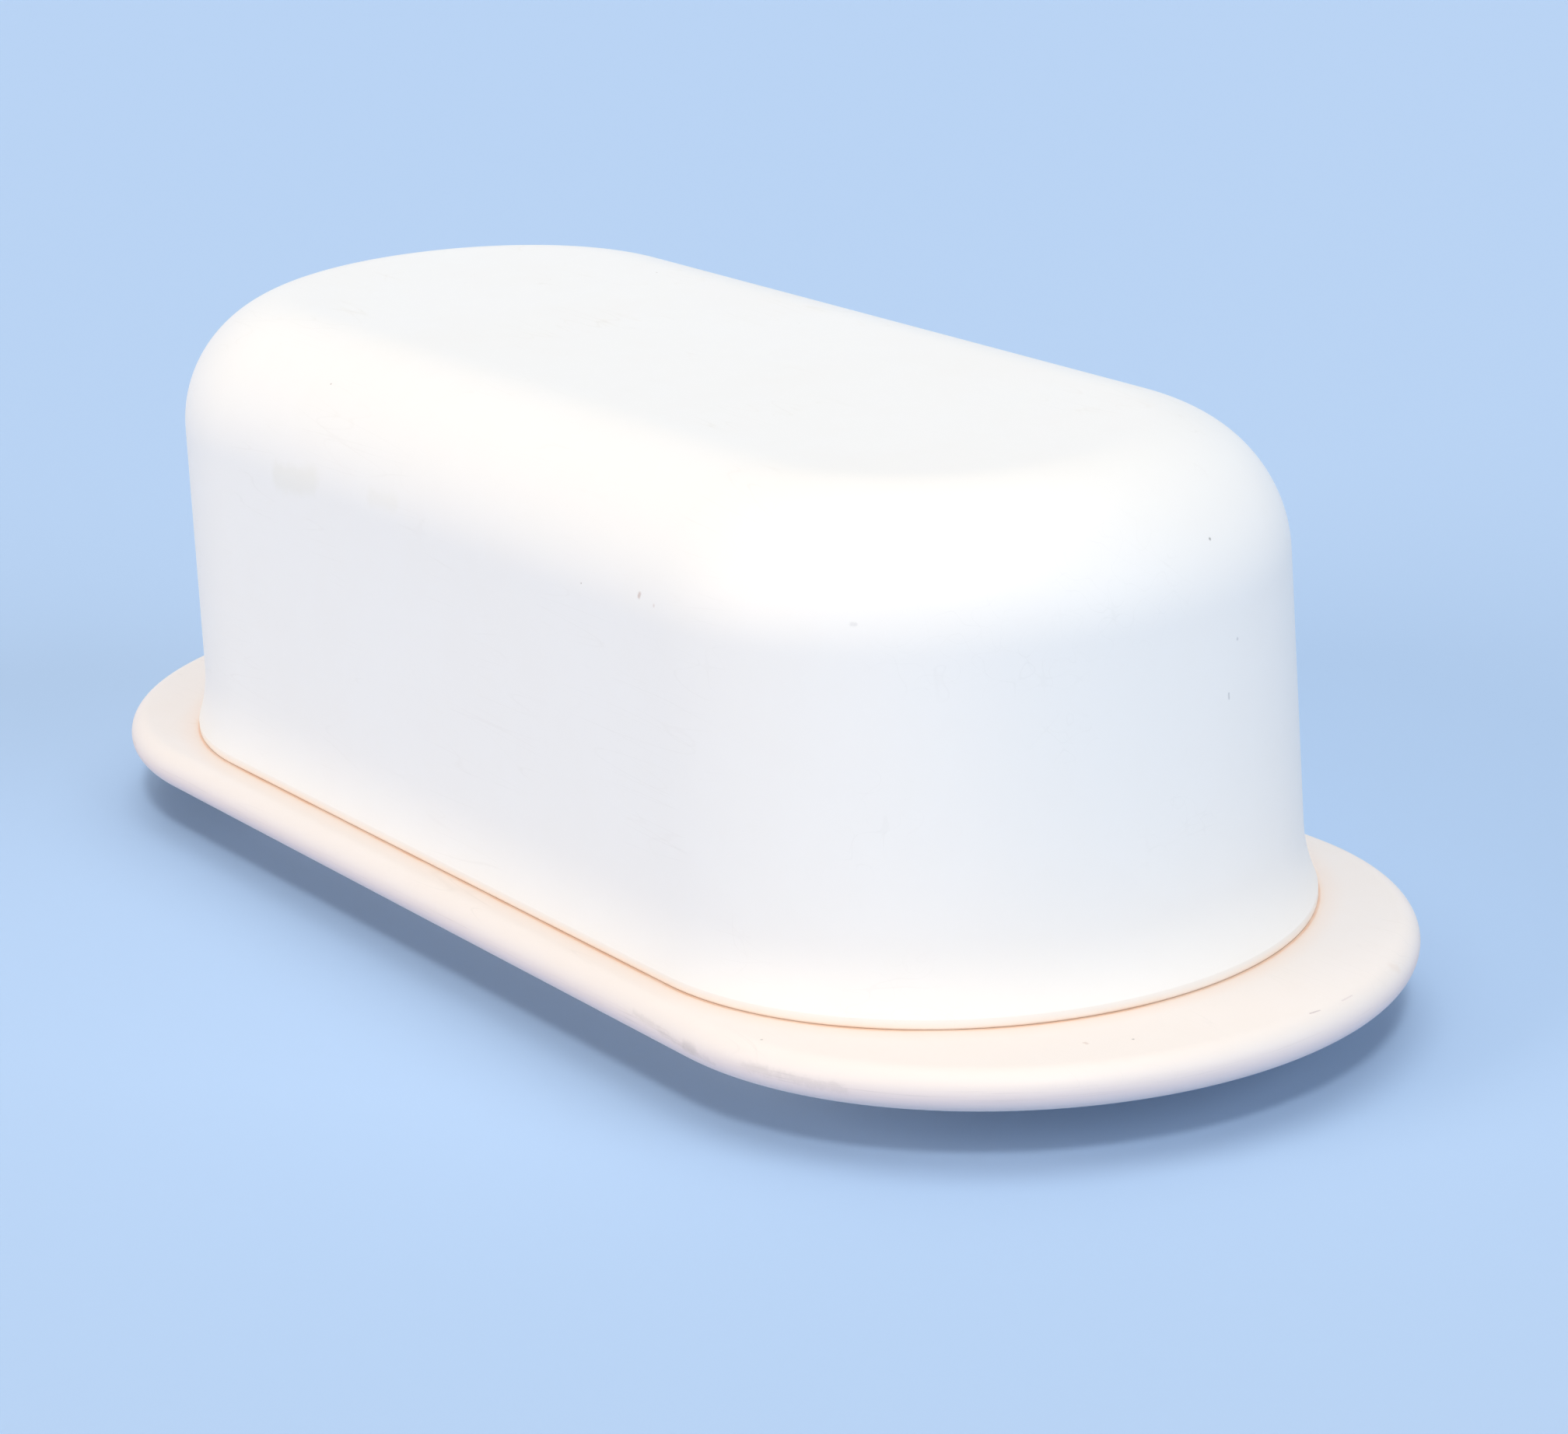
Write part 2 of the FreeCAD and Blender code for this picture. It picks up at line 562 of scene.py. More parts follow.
@dataclass(frozen=True)
class Blemish:
    """One mark that use has left: a speck, a smudge, a scratch or a scuff.

    Args:
        start: one end of the mark, in millimetres.
        stop: its other end, or the same point for a round mark.
        reach: how far it spreads from the line between them, in millimetres.
        colour: its colour.
        strength: how strongly it shows, from 0 to 1.
        ragged: how uneven its edge is, from 0 to 1.
        depth: how deep it is cut, in millimetres.
        fade: the share of its reach over which it fades out.
        dulling: how much rougher it makes the surface.
    """

    FRAY_SIZE = 1.1   # size of the unevenness of an edge, in reaches
    FRAY = 2.6        # how far the most ragged edge wanders over the noise's full range, in reaches

    start: Spot
    stop: Spot
    reach: float
    colour: Colour
    strength: float = 0.6
    ragged: float = 0.5
    depth: float = 0.0
    fade: float = 0.85
    dulling: float = 0.1

    def lay(self, place: Place, coat: Coat) -> Coat:
        """Lays the mark over a coat.

        Args:
            place: where the point is.
            coat: the coat so far.

        Returns:
            The marked coat.
        """
        recipe = place.recipe
        line = Vector(self.stop) - Vector(self.start)
        from_start = recipe.vector("SUBTRACT", place.spot, self.start)
        gap = from_start
        if line.length:
            share = recipe.vector("DOT_PRODUCT", from_start, tuple(line / line.length_squared),
                                  output="Value").at_least(0).at_most(1)
            gap = recipe.vector("SUBTRACT", from_start, recipe.vector("SCALE", tuple(line), Scale=share))
        fray = recipe.noise(place.spot, self.reach * self.FRAY_SIZE, detail=4, roughness=0.6) - 0.5
        away = recipe.vector("LENGTH", gap, output="Value") / self.reach
        mask = (away + fray * (self.FRAY * self.ragged)).fall(1 - self.fade, 1.0)
        marked = coat.stained(mask * self.strength, self.colour).dulled(mask, self.dulling)
        return marked.raised(mask * -self.depth) if self.depth else marked


@dataclass(frozen=True)
class SeamShade:
    """Painted shade drawn into the seam between two parts: orange-brown, darkest in the corner and uneven
    along it.

    Args:
        colour: the colour of the painted shade where it is thick.
        edge: the colour of its thin edge.
        strength: how strongly it shows, from 0 to 1.
        least: the share of it that is there even in the faintest places.
        patch: size of the fainter and stronger places, in millimetres.
        halo: strength of the thin edge, as a share of the whole.
    """

    colour: Colour = (0.70, 0.33, 0.14)
    edge: Colour = (0.86, 0.61, 0.42)
    strength: float = 0.75
    least: float = 0.5
    patch: float = 9.0
    halo: float = 0.5

    def lay(self, place: Place, coat: Coat, away: Wire, core: float, reach: float) -> Coat:
        """Lays the painted seam shade over a coat.

        Args:
            place: where the point is.
            coat: the coat so far.
            away: how far the point is from the seam, in millimetres.
            core: how far the thick stain reaches.
            reach: how far the thin edge reaches.

        Returns:
            The coat with the painted seam shade.
        """
        uneven = place.recipe.noise(place.spot, self.patch, detail=4, roughness=0.6)
        patchy = uneven.rise(0.3, 0.62) * (1 - self.least) + self.least
        halo = away.fall(core / 2, reach) * patchy * (self.strength * self.halo)
        thick = away.fall(0, core) * patchy * self.strength
        return coat.stained(halo, self.edge).stained(thick, self.colour)


@dataclass(frozen=True)
class RimWear:
    """The sanded mould line round the rim's round edge, with the dirt and rubs that it has picked up, and
    a darker pinkish tint over the edge's lower part.

    Args:
        sanded: how far the sanded band reaches from the mould line, in millimetres.
        core: the share of that band that is fully sanded.
        marks: length and pitch of the sanding marks, in millimetres.
        groove: how deep they are, in millimetres.
        dulling: how much rougher they make the surface.
        lower_tint: the darker pinkish colour laid over the lower part of the round edge.
        lower_tint_strength: how strongly that shows, from 0 to 1.
        dirt: the colour of dirt caught in the sanding marks.
        smears: length and pitch of the smears over the round edge, in millimetres.
        rub: the colour of the greyed patches.
        patch: size of those patches, in millimetres.
        strength: how strongly dirt and patches show, from 0 to 1.
    """

    sanded: float = 0.9
    core: float = 0.35
    marks: tuple[float, float] = (9.0, 0.16)
    groove: float = 0.006
    dulling: float = 0.16
    lower_tint: Colour = (0.77, 0.66, 0.66)
    lower_tint_strength: float = 0.8
    dirt: Colour = (0.45, 0.40, 0.39)
    smears: tuple[float, float] = (22.0, 0.6)
    rub: Colour = (0.60, 0.55, 0.54)
    patch: float = 8.0
    strength: float = 0.4

    def lay(self, place: Place, coat: Coat, radius: float, level: float, half: float) -> Coat:
        """Lays the wear over a coat.

        Args:
            place: where the point is.
            coat: the coat so far.
            radius: how far out the edge is.
            level: the height of the mould line.
            half: half of the rim's thickness.

        Returns:
            The worn coat.
        """
        edge = place.out.rise(radius - half, radius - half / 2)
        band = place.height.band(level, self.sanded * self.core, self.sanded * (1 - self.core)) * edge
        lines = place.lines_round(radius, *self.marks)
        broad = place.lines_round(radius, *self.smears).rise(0.5, 0.74)
        rubbed = place.recipe.noise(place.spot, self.patch, detail=3, roughness=0.6).rise(0.48, 0.72)
        dirty = lines.rise(0.53, 0.72) * band * (rubbed * 0.7 + 0.3)
        smears = broad * place.height.fall(level - half * 0.2, level + half * 0.75) * edge
        # A darker pinkish tint, full towards the bottom of the round edge and gone just above the mould
        # line.
        lower_part = place.height.fall(level - half * 0.5, level + half * 0.7) * edge
        worn = coat.stained(lower_part * self.lower_tint_strength, self.lower_tint)
        worn = worn.stained(smears * rubbed * (self.strength * 0.55), self.rub)
        worn = worn.stained(dirty * self.strength, self.dirt)
        return worn.dulled(band, self.dulling).raised((lines - 0.5) * band * self.groove)


@dataclass(frozen=True)
class Film:
    """A thin dried film, such as grease or hard water, with tide marks at its edges.

    Args:
        colour: the film's colour.
        size: how large its patches are, in millimetres.
        strength: how strongly it shows, from 0 to 1.
        gloss: how much smoother it makes the surface.
    """

    colour: Colour
    size: float = 22.0
    strength: float = 0.25
    gloss: float = 0.08

    def lay(self, place: Place, coat: Coat, where: Wire) -> Coat:
        """Lays the film over a coat.

        Args:
            place: where the point is.
            coat: the coat so far.
            where: 1 where the film may lie, and 0 elsewhere.

        Returns:
            The filmed coat.
        """
        depth = place.recipe.noise(place.spot, self.size, detail=4, roughness=0.55)
        film = depth.rise(0.46, 0.56) * where
        tide = depth.band(0.5, 0.004, 0.02) * where
        wet = coat.stained(film * (self.strength * 0.6), self.colour)
        return wet.stained(tide * self.strength, self.colour).dulled(film, -self.gloss)


# -------------------------------------------------------------------------------------- geometry


@dataclass(frozen=True)
class Corner:
    """A corner of a section, in millimetres.

    Args:
        out: how far it is from the middle of the half circle that it sweeps.
        height: how far it is above the surface that the dish stands on.
        end: how far that middle is from the middle of the dish.
        radius: the radius that rounds it, or 0 where it is sharp or the line runs straight on.
    """

    out: float
    height: float
    end: float
    radius: float = 0.0

    @property
    def point(self) -> Vector:
        """The corner as out, height and end."""
        return Vector((self.out, self.height, self.end))

    def towards(self, other: "Corner") -> Vector:
        """The direction from this corner to another, in the section's plane."""
        return Vector((other.out - self.out, other.height - self.height, 0)).normalized()


class Section:
    """A section's closed line, from the middle of the upper face round to the middle of the lower."""

    RUN = "run"          # the mesh attribute that says how far along the line a point is
    TOLERANCE = 0.004    # how far a bend's chords may stand off its arc, in millimetres
    BEND_STEPS = 3       # the fewest chords in a bend
    STEP = 3.0           # about the longest step on a straight run, in millimetres
    END_STEPS = 3        # steps that a straight run has beyond those, to close up at its ends

    def __init__(self, corners: list[Corner]) -> None:
        """Draws the line.

        Args:
            corners: the corners in order, the first and last of them at out 0.
        """
        self.points = [corners[0].point]
        self.passed = [0.0]
        for before, corner, after in zip(corners, corners[1:], corners[2:]):
            self._extend(self._bend(before, corner, after))
            self.passed.append(self.runs()[-1])
        self._extend([corners[-1].point])

    def _bend(self, before: Corner, corner: Corner, after: Corner) -> list[Vector]:
        """Rounds one corner.

        Args:
            before: the corner before it.
            corner: the corner.
            after: the corner after it.

        Returns:
            The points of its arc, or the corner itself where it has no radius.
        """
        if not corner.radius:
            return [corner.point]
        back, on = corner.towards(before), corner.towards(after)
        half = back.angle(on) / 2
        turn = math.pi - 2 * half
        middle = corner.point + (back + on).normalized() * (corner.radius / math.sin(half))
        spoke = corner.point + back * (corner.radius / math.tan(half)) - middle
        sense = math.copysign(1, back.cross(on).z)
        chord = 2 * math.acos(1 - self.TOLERANCE / corner.radius)
        steps = max(self.BEND_STEPS, math.ceil(turn / chord))
        return [middle + Matrix.Rotation(-sense * turn * k / steps, 3, "Z") @ spoke
                for k in range(steps + 1)]

    def _extend(self, bend: list[Vector]) -> None:
        """Adds the straight run up to a bend, with its points closer near its ends, and then the bend.

        Args:
            bend: the bend's points.
        """
        start, stop = self.points[-1], bend[0]
        length = (stop - start).xy.length
        if length > self.TOLERANCE:
            steps = math.ceil(length / self.STEP) + self.END_STEPS
            shares = [(1 - math.cos(math.pi * k / steps)) / 2 for k in range(1, steps + 1)]
            self.points += [start.lerp(stop, share) for share in shares]
        self.points += bend[1:]

    def runs(self) -> list[float]:
        """How far along the line each point is, in millimetres."""
        steps = [(b - a).xy.length for a, b in zip(self.points, self.points[1:])]
        return [0.0, *np.cumsum(steps).tolist()]

    def near(self, corner: int, before: float = 0.0, after: float = 0.0) -> tuple[float, float]:
        """The two ends of a stretch round the end of a corner's bend, in millimetres along the line."""
        return self.passed[corner] - before, self.passed[corner] + after


@dataclass(frozen=True)
class Oblong:
    """The path that a section is swept round.

    Args:
        turn_steps: faces round each half circle.
        side_steps: faces along each straight side.
    """

    turn_steps: int = 96
    side_steps: int = 64

    def stations(self) -> tuple[np.ndarray, np.ndarray]:
        """The places along the path.

        Returns:
            How far along the dish each half circle's middle is, from -1 to 1, and the angle from X
            that each station faces.
        """
        shares, angles = [], []
        for side in (1, -1):
            facing = 0 if side == 1 else math.pi
            for k in range(self.turn_steps):
                shares.append(side)
                angles.append(facing + math.pi * (k / self.turn_steps - 0.5))
            for k in range(self.side_steps):
                shares.append(side * math.cos(math.pi * k / self.side_steps))
                angles.append(facing + math.pi / 2)
        return np.array(shares), np.array(angles)

    def sweep(self, name: str, section: Section) -> bpy.types.Object:
        """Sweeps a section into a closed smooth mesh.

        Args:
            name: the new object's name.
            section: the section.

        Returns:
            The object, linked to the scene, with each point's distance along the section kept as
            an attribute.
        """
        shares, angles = self.stations()
        out, height, end = (column[:, None] for column in np.array(section.points).T)
        rows, count = len(section.points), len(shares)
        x = end * shares + out * np.cos(angles)
        y = out * np.sin(angles)
        z = np.broadcast_to(height, x.shape)
        spots = np.stack((x, y, z), -1).reshape(-1, 3) * MM
        row, place = np.meshgrid(np.arange(rows - 1), np.arange(count), indexing="ij")
        after = (place + 1) % count
        quads = np.stack((row * count + place, (row + 1) * count + place,
                          (row + 1) * count + after, row * count + after), -1).reshape(-1, 4)
        mesh = bpy.data.meshes.new(name)
        mesh.from_pydata(spots.tolist(), [], quads.tolist())
        runs = mesh.attributes.new(Section.RUN, "FLOAT", "POINT")
        runs.data.foreach_set("value", np.repeat(section.runs(), count).astype(np.float32))
        self._close(mesh, count)
        mesh.shade_smooth()
        made = bpy.data.objects.new(name, mesh)
        bpy.context.scene.collection.objects.link(made)
        return made

    @staticmethod
    def _close(mesh: bpy.types.Mesh, count: int) -> None:
        """Joins the points that meet on the dish's middle line.

        Args:
            mesh: the mesh, with its points in rows.
            count: points in a row. Only the first and last rows lie on the middle line.
        """
        made = bmesh.new()
        made.from_mesh(mesh)
        made.verts.ensure_lookup_table()
        for row in (made.verts[:count], made.verts[-count:]):
            bmesh.ops.remove_doubles(made, verts=row, dist=TOUCHING)
        made.to_mesh(mesh)
        made.free()


def bend_radius(reach: float, degrees: float, kept: float) -> float:
    """The radius that lets one bend take up a whole sloping line but for the part kept at its far end.

    Args:
        reach: how far the line moves out.
        degrees: its slope off vertical.
        kept: the length kept straight.

    Returns:
        The radius.
    """
    slope = math.radians(degrees)
    return (reach / math.sin(slope) - kept) / math.tan(slope / 2)


# ---------------------------------------------------------------------------------- the mouldings


class Part:
    """What the two mouldings share: they are built, dressed, and put in place of their CAD node."""

    moulding: Moulding

    def section(self) -> Section:
        """The part's section."""
        raise NotImplementedError

    def finish(self, section: Section) -> bpy.types.Material:
        """The part's material."""
        raise NotImplementedError

    def make(self, name: str) -> bpy.types.Object:
        """Builds and dresses the part, and puts it in its CAD node's place.

        Args:
            name: the piece's name.

        Returns:
            The piece.
        """
        section = self.section()
        piece = Oblong().sweep(name, section)
        piece.data.materials.append(self.finish(section))
        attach(piece, self.moulding.value)
        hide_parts(self.moulding.value)
        self.moulding.slot
        log.info("%s: %d faces, %d points in its section", name, len(piece.data.polygons),
                 len(section.points))
        return piece


@dataclass(frozen=True)
class Cover(Part):
    """The deep cover: an even wall, a rounded shoulder, and a foot that spreads to an upright lip.

    All sizes are in millimetres, and angles in degrees off vertical.

    Args:
        radius: outside of the lip, from the middle of each end.
        end: how far that middle is from the dish's middle.
        seat: the height that it stands at.
        top: the height of its flat top.
        wall: the wall's thickness.
        draft: the wall's slope.
        shoulder: the outside radius from the wall into the top.
        foot_reach: how far the foot stands out from the wall.
        foot_splay: the foot's slope where it meets the lip.
        lip_height: height of the upright lip.
        lip_radius: the rounding of its edges.
        seat_width: breadth of the foot where it rests.
    """

    radius: float
    end: float
    seat: float
    top: float
    wall: float = 2.6
    draft: float = 1.0
    shoulder: float = 15.0
    foot_reach: float = 1.3
    foot_splay: float = 20.0
    lip_height: float = 1.1
    lip_radius: float = 0.3
    seat_width: float = 2.9

    moulding = Moulding.COVER
    SEAT_INSIDE = 5   # the section's corner where the seat turns up into the inside

    @classmethod
    def from_frame(cls) -> "Cover":
        """The cover at the size of its CAD node."""
        low, high = Moulding.COVER.box()
        return cls(radius=high.y, end=high.x - high.y, seat=low.z, top=high.z)

    def section(self) -> Section:
        """Draws the shell's section: over the top, down the outside, and back up the inside.

        Returns:
            The section.
        """
        splay, draft = math.tan(math.radians(self.foot_splay)), math.tan(math.radians(self.draft))
        lip = self.seat + self.lip_height
        ceiling = self.top - self.wall
        seat_inside = self.radius - self.seat_width
        foot_outside = self.radius - self.foot_reach
        foot_inside = foot_outside - self.wall
        inner_reach = seat_inside - foot_inside
        bend = lip + self.foot_reach / splay
        inner_bend = self.seat + inner_reach / splay
        outer_radius = bend_radius(self.foot_reach, self.foot_splay, self.lip_radius)
        inner_radius = bend_radius(inner_reach, self.foot_splay, self.lip_radius)
        corners = (
            (0, self.top, 0),
            (foot_outside - (self.top - bend) * draft, self.top, self.shoulder),
            (foot_outside, bend, outer_radius),
            (self.radius, lip, self.lip_radius),
            (self.radius, self.seat, self.lip_radius),
            (seat_inside, self.seat, self.lip_radius),
            (foot_inside, inner_bend, inner_radius),
            (foot_inside - (ceiling - inner_bend) * draft, ceiling, self.shoulder - self.wall),
            (0, ceiling, 0),
        )
        return Section([Corner(out, height, self.end, radius) for out, height, radius in corners])

    def finish(self, section: Section) -> bpy.types.Material:
        """Mixes white melamine with painted shade at the seam, a beige band on its lip, a few old marks,
        and a film of grease inside.

        Args:
            section: the cover's section.

        Returns:
            The material.
        """
        recipe = Recipe.named("white_melamine")
        place = Place(recipe, self.end)
        inside = place.run.rise(*section.near(self.SEAT_INSIDE, after=3.0))
        outside = 1 - inside
        coat = Melamine(colour=(0.875, 0.864, 0.842), cloud=(0.862, 0.846, 0.818)).lay(recipe, place)
        for scratches in (Scratches(Grain.ALONG, strength=0.09), Scratches(Grain.SLANTED, strength=0.07),
                          Scratches(Grain.BACK_SLANTED, length=22.0, strength=0.05)):
            coat = scratches.lay(place, coat, outside)
        coat = Specks().lay(place, coat)
        coat = Film(colour=(0.80, 0.72, 0.52)).lay(place, coat, inside)
        # A beige band on the lip, strongest just above its foot and gone at its top.
        lip_band = place.height.fall(self.seat + 0.1, self.seat + self.lip_height) * outside
        uneven = recipe.noise(place.spot, size=11.0, detail=3).rise(0.3, 0.7)
        coat = coat.stained(lip_band * (uneven * 0.3 + 0.3), (0.86, 0.72, 0.60))
        # Painted shade in the seam, on the rounded foot of the lip where it meets the tray.
        coat = SeamShade(strength=0.28).lay(place, coat, place.height - self.seat, core=0.2, reach=0.5)
        for mark in self.marks():
            coat = mark.lay(place, coat)
        return recipe.finish(coat)

    @staticmethod
    def marks() -> list[Blemish]:
        """Lists the marks that use has left on the outside.

        Returns:
            The marks, each by its start, stop, reach, colour, strength and raggedness.
        """
        grit, graphite = (0.07, 0.06, 0.06), (0.4, 0.4, 0.42)
        rust, tallow = (0.42, 0.24, 0.18), (0.70, 0.68, 0.55)
        return [
            Blemish((82.0, 9.1, 56.0), (82.0, 9.1, 56.0), 0.26, grit, 0.62, 0.15),
            Blemish((83.9, 9.4, 40.3), (83.9, 9.4, 39.8), 0.22, graphite, 0.55, 0.2),
            Blemish((83.3, 11.2, 45.5), (83.3, 11.2, 45.5), 0.27, graphite, 0.45, 0.2),
            Blemish((72.1, -26.9, 52.6), (71.8, -27.1, 52.6), 0.36, graphite, 0.22, 0.3),
            Blemish((45.6, -35.4, 51.7), (45.7, -35.4, 51.9), 0.42, rust, 0.45, 0.3),
            Blemish((48.5, -35.4, 51.3), (48.5, -35.4, 51.3), 0.3, rust, 0.25, 0.3),
            Blemish((-33.6, -35.6, 49.6), (-25.6, -35.5, 50.5), 2.4, tallow, 0.17, 0.4, fade=0.75),
            Blemish((-11.2, -35.4, 51.4), (-5.8, -35.4, 51.6), 1.5, tallow, 0.10, 0.4, fade=0.8),
        ]


@dataclass(frozen=True)
class Tray(Part):
    """The tray: a flange with a round edge, a ridge that locates the cover, a well and a foot ring.

    All sizes are in millimetres, and angles in degrees off vertical.

    Args:
        radius: outside of the flange, from the middle of each end.
        end: how far that middle is from the dish's middle.
        crest: the height of the ridge's crest.
        cover: the cover that sits on it.
        flange: the flange's thickness.
        wall: the thickness of the well's wall and floor.
        foot_height: height of the foot ring.
        foot_width: breadth of the foot ring.
        foot_radius: the rounding of its edges.
        well_slope: the slope of the well's wall.
        well_radius: the radius from that wall into the floor.
        undercut_radius: the radius from the flange's underside into the well's outside.
        ridge_width: breadth of the ridge.
        ridge_radius: the rounding of its crest.
        ridge_root: the radius at its outer foot.
        ridge_clearance: the gap from the ridge to the inside of the cover's foot.
    """

    radius: float
    end: float
    crest: float
    cover: Cover
    flange: float = 4.6
    wall: float = 2.8
    foot_height: float = 1.8
    foot_width: float = 3.0
    foot_radius: float = 0.8
    well_slope: float = 24.0
    well_radius: float = 4.0
    undercut_radius: float = 3.0
    ridge_width: float = 2.4
    ridge_radius: float = 0.9
    ridge_root: float = 0.5
    ridge_clearance: float = 0.6

    moulding = Moulding.TRAY
    FLOOR_EDGE = 1      # the section's corner where the well's floor ends
    RIDGE_INSIDE = 2    # its corner on the well's side of the ridge
    RIM_UNDERSIDE = 7   # its corner where the round edge ends below

    @classmethod
    def from_frame(cls, cover: Cover) -> "Tray":
        """The tray at the size of its CAD node, under a cover."""
        _, high = Moulding.TRAY.box()
        return cls(radius=high.y, end=high.x - high.y, crest=high.z, cover=cover)

    def section(self) -> Section:
        """Draws the tray's section: out over the well, ridge and flange, and back along the underside.

        Returns:
            The section.
        """
        slope, end = math.tan(math.radians(self.well_slope)), self.cover.end
        rim, floor = self.cover.seat, self.foot_height + self.wall
        under = rim - self.flange
        seat_inside = self.cover.radius - self.cover.seat_width
        root = seat_inside - self.ridge_clearance
        outer_crest = root - (self.crest - rim) * math.tan(math.radians(self.cover.foot_splay))
        inner_crest = outer_crest - self.ridge_width
        floor_edge = inner_crest - (self.crest - floor) * slope
        wall_across = self.wall / math.cos(math.radians(self.well_slope))
        undercut = floor_edge + wall_across + (under - floor) * slope
        foot_outside = undercut - under * slope
        foot_inside = foot_outside - self.foot_width
        nose = self.flange / 2
        return Section([Corner(*values) for values in (
            (0, floor, end),
            (floor_edge, floor, end, self.well_radius),
            (inner_crest, self.crest, end, self.ridge_radius),
            (outer_crest, self.crest, end, self.ridge_radius),
            (root, rim, end, self.ridge_root),
            (self.cover.radius, rim, end),
            (self.radius, rim, self.end, nose),
            (self.radius, under, self.end, nose),
            (self.cover.radius, under, end),
            (undercut, under, end, self.undercut_radius),
            (foot_outside, 0, end, self.foot_radius),
            (foot_inside, 0, end, self.foot_radius),
            (foot_inside, self.foot_height, end, self.foot_radius),
            (0, self.foot_height, end),
        )])

    def finish(self, section: Section) -> bpy.types.Material:
        """Mixes pinkish cream melamine with a worn rim, painted shade at the seam, a cut well and a
        scuffed foot darkened further as painted contact shade.

        Args:
            section: the tray's section.

        Returns:
            The material.
        """
        recipe = Recipe.named("cream_melamine")
        place = Place(recipe, self.cover.end)
        rim = Place(recipe, self.end)
        above = place.run.fall(*section.near(self.RIM_UNDERSIDE, after=1.0))
        well = place.run.fall(*section.near(self.RIDGE_INSIDE, before=1.5))
        floor = place.run.fall(*section.near(self.FLOOR_EDGE, before=4.0))
        coat = Melamine(colour=(0.838, 0.774, 0.728), cloud=(0.826, 0.752, 0.696)).lay(recipe, place)
        for scratches in (Scratches(Grain.ALONG, strength=0.16), Scratches(Grain.SLANTED)):
            coat = scratches.lay(place, coat, above)
        grime = (0.55, 0.45, 0.36)
        for cuts in (Scratches(Grain.ACROSS, length=17.0, pitch=3.2, width=0.02, depth=0.01,
                               colour=grime, strength=0.35),
                     Scratches(Grain.BACK_SLANTED, length=12.0, pitch=4.5, width=0.016, depth=0.008,
                               colour=grime, strength=0.25)):
            coat = cuts.lay(place, coat, floor)
        coat = Specks(spacing=7.0, size=0.2, rarity=0.66).lay(place, coat)
        coat = Film(colour=(0.82, 0.69, 0.47), size=18.0, strength=0.22).lay(place, coat, well)
        # The painted seam shade's middle lies just outside the cover's lip. The rim's underside is put
        # out of reach.
        outside_lip, out_of_reach = 0.08, 9.0
        seam = abs(place.out - self.cover.radius - outside_lip) + (1 - above) * out_of_reach
        # A wide faint peach band along the seam, the warm edge of the painted seam shade.
        coat = coat.stained(seam.fall(0.2, 3.2) * 0.3, (0.86, 0.66, 0.53))
        coat = SeamShade(strength=0.5).lay(place, coat, seam, core=0.24, reach=0.8)
        coat = RimWear().lay(rim, coat, self.radius, self.cover.seat - self.flange / 2, self.flange / 2)
        # The foot ring's lowest 0.75 mm is greyed and dulled: scuffing, with painted contact shade where
        # it stands on the floor.
        foot = place.height.fall(0.12, 0.75)
        coat = coat.stained(foot * 0.45, (0.52, 0.47, 0.44)).dulled(foot, 0.2)
        for mark in self.marks():
            coat = mark.lay(place, coat)
        return recipe.finish(coat)

    @staticmethod
    def marks() -> list[Blemish]:
        """Lists the marks that use has left on the flange and its edge.

        Returns:
            The marks, each by its start, stop, reach, colour, strength, raggedness and depth.
        """
        soot, rust, rub = (0.12, 0.09, 0.10), (0.45, 0.27, 0.20), (0.42, 0.38, 0.36)
        plum, tan = (0.32, 0.20, 0.26), (0.62, 0.46, 0.36)
        return [
            Blemish((50.0, -42.1, 9.7), (63.6, -41.6, 8.7), 0.5, rub, 0.16, 0.7),
            Blemish((55.4, -42.1, 9.1), (64.4, -41.5, 8.3), 0.4, rub, 0.16, 0.8),
            Blemish((59.8, -42.1, 9.0), (61.2, -42.0, 8.9), 0.9, rub, 0.3, 0.35),
            Blemish((68.9, -40.9, 9.3), (80.0, -36.4, 8.9), 0.8, rub, 0.17, 0.8),
            Blemish((98.8, 6.7, 11.1), (98.7, 8.1, 11.1), 0.13, plum, 0.42, 0.3, 0.02),
            Blemish((98.0, 11.5, 11.0), (97.5, 13.2, 11.0), 0.14, plum, 0.2, 0.3, 0.01),
            Blemish((93.0, -10.8, 11.3), (93.0, -10.8, 11.3), 0.22, soot, 0.5, 0.2),
            Blemish((90.6, -14.9, 11.3), (90.9, -14.9, 11.3), 0.34, rust, 0.3, 0.3),
            Blemish((68.6, -38.4, 11.3), (68.6, -38.4, 11.3), 0.24, soot, 0.4, 0.2),
            Blemish((93.6, 21.7, 10.6), (93.8, 22.3, 10.5), 0.9, tan, 0.12, 0.3),
        ]


# -------------------------------------------------------------------------------------- the studio


